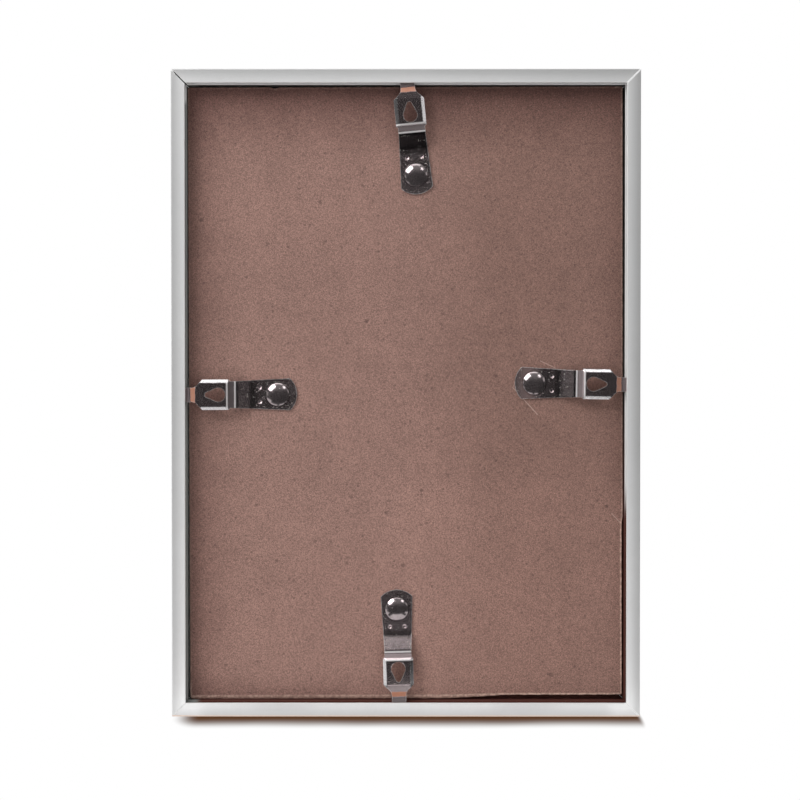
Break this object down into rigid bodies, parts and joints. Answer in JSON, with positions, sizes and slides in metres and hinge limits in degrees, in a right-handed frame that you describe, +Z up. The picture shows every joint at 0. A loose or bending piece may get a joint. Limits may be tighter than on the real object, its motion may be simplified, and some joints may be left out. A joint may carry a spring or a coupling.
{
  "type": "clip picture frame",
  "caption": "Portrait aluminium picture frame with a hardboard back held by turning steel clips that also hang it on a nail.",
  "frame": {"origin": "centre of the frame's outer box, at mid width, mid height and mid depth", "axes": "+Z up along the long side, +Y out of the back towards the wall, +X to the left for someone looking at the back"},
  "size_m": [0.2284, 0.013, 0.3154],
  "materials": {
    "rail_aluminium": "satin anodised",
    "key_casting": "as cast",
    "pane_glass": "clear float glass",
    "insert_paper": "plain matt paper",
    "hardboard": "reddish-brown pressed hardboard",
    "clip_plating": "bright nickel plated, lightly worn",
    "rivet_plating": "bright nickel plated dome",
    "washer_steel": "plain zinc plated"
  },
  "bodies": {
    "frame": {"top_rail": "rail_aluminium", "left_rail": "rail_aluminium", "bottom_rail": "rail_aluminium", "right_rail": "rail_aluminium", "corner_key_top_left": "key_casting", "corner_key_bottom_left": "key_casting", "corner_key_bottom_right": "key_casting", "corner_key_top_right": "key_casting", "glass_pane": "pane_glass", "insert_sheet": "insert_paper", "backing_board": "hardboard", "rivet_top": "rivet_plating", "washer_top": "washer_steel", "rivet_left": "rivet_plating", "washer_left": "washer_steel", "rivet_right": "rivet_plating", "washer_right": "washer_steel", "rivet_bottom": "rivet_plating", "washer_bottom": "washer_steel"},
    "turning_clip_top": {"clip_top": "clip_plating"},
    "turning_clip_left": {"clip_left": "clip_plating"},
    "turning_clip_right": {"clip_right": "clip_plating"},
    "turning_clip_bottom": {"clip_bottom": "clip_plating"}
  },
  "joints": [
    {"name": "clip_top_turn", "type": "hinge", "parent": "frame", "child": "turning_clip_top", "pos_m": [-0.00492, 0.00055, 0.10686], "axis": [0, 1, 0], "continuous": true},
    {"name": "clip_left_turn", "type": "hinge", "parent": "frame", "child": "turning_clip_left", "pos_m": [0.0628, 0.00055, -0.00041], "axis": [0, 1, 0], "continuous": true},
    {"name": "clip_right_turn", "type": "hinge", "parent": "frame", "child": "turning_clip_right", "pos_m": [-0.06279, 0.00055, 0.00511], "axis": [0, 1, 0], "continuous": true},
    {"name": "clip_bottom_turn", "type": "hinge", "parent": "frame", "child": "turning_clip_bottom", "pos_m": [0.00442, 0.00055, -0.10576], "axis": [0, 1, 0], "continuous": true}
  ]
}
